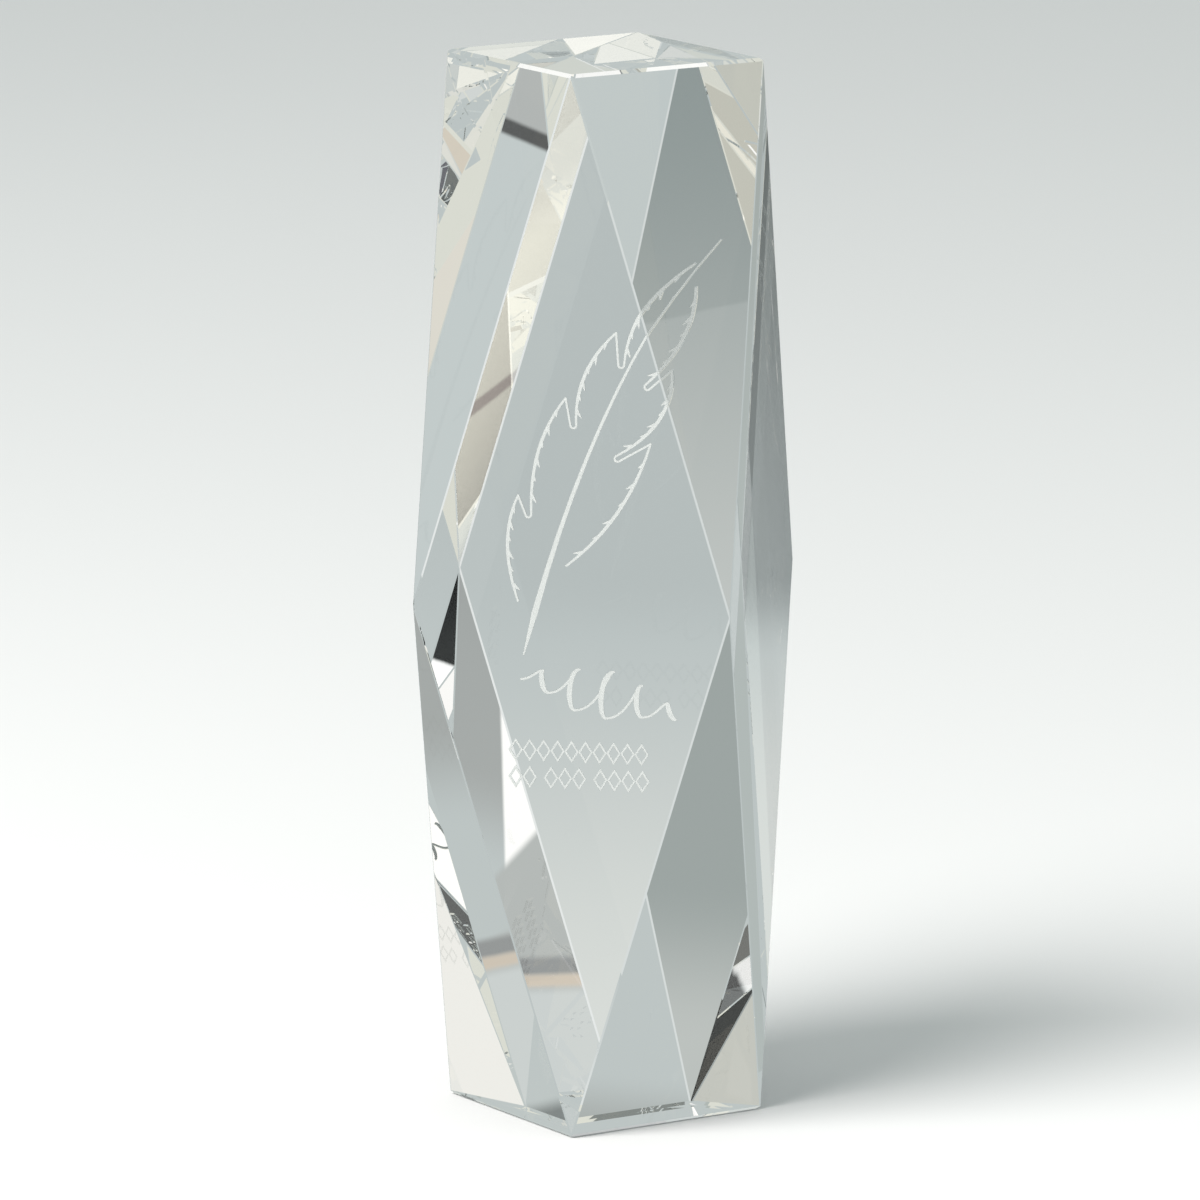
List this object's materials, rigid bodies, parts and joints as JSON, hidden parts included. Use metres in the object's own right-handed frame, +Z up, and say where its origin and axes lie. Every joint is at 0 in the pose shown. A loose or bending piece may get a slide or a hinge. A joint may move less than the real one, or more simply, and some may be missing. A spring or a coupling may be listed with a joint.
{
  "type": "crystal tower award",
  "caption": "Tall faceted crystal tower award with square ends turned against a square waist and a carved, pale-filled quill, pen flourish and ornament rows on its front.",
  "frame": {"origin": "middle of the base, on the surface that the award stands on", "axes": "+Z up; the carved front faces -Y; +X is to the right seen from the front"},
  "size_m": [0.06, 0.06, 0.2],
  "materials": {
    "optical_crystal": "clear, polished",
    "frosted_infill": "fine matte, pale frost"
  },
  "bodies": {
    "root": {"crystal": "optical_crystal", "quill_shaft": "frosted_infill", "left_vane": "frosted_infill", "right_vane": "frosted_infill", "pen_flourish": "frosted_infill", "upper_ornament_row": "frosted_infill", "lower_ornament_row": "frosted_infill"}
  },
  "joints": []
}
